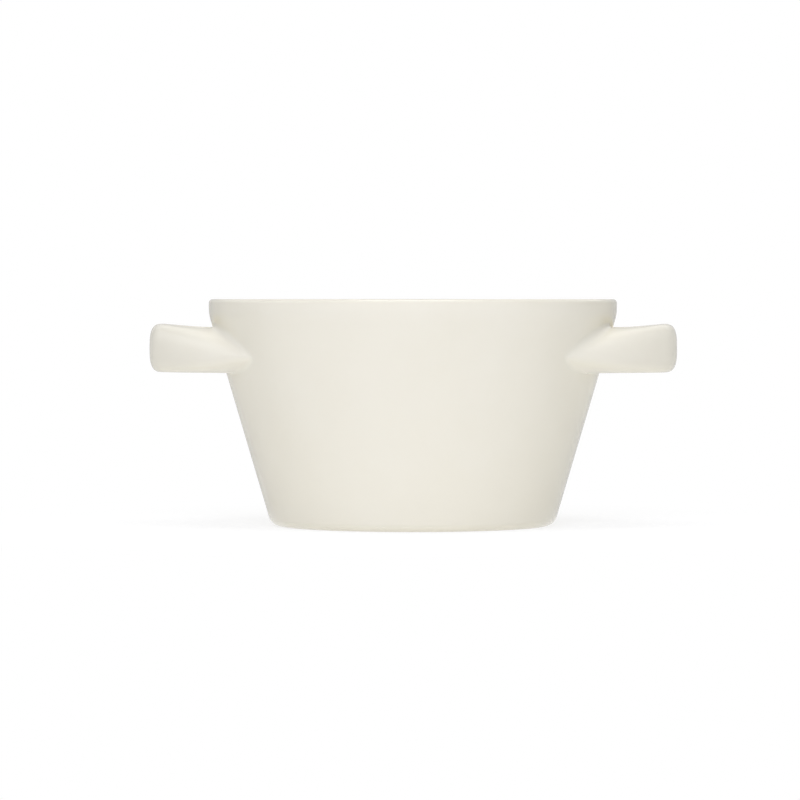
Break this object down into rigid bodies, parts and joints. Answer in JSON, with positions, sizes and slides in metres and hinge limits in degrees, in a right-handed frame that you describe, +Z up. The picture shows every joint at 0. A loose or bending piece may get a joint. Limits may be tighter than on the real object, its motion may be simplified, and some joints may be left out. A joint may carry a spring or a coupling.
{
  "type": "soup cup",
  "caption": "Low conical soup cup of white glazed ceramic with an upright lip, a recessed foot and a horizontal loop handle on each side.",
  "frame": {"origin": "centre of the foot ring, on the table plane", "axes": "+X out through the right handle, +Z up through the open top"},
  "size_m": [0.1606, 0.124, 0.0688],
  "materials": {
    "cup_glaze": "glossy warm white glaze",
    "handle_glaze": "glossy warm white glaze"
  },
  "bodies": {
    "root": {"cup_body": "cup_glaze", "left_handle": "handle_glaze", "right_handle": "handle_glaze"}
  },
  "joints": []
}
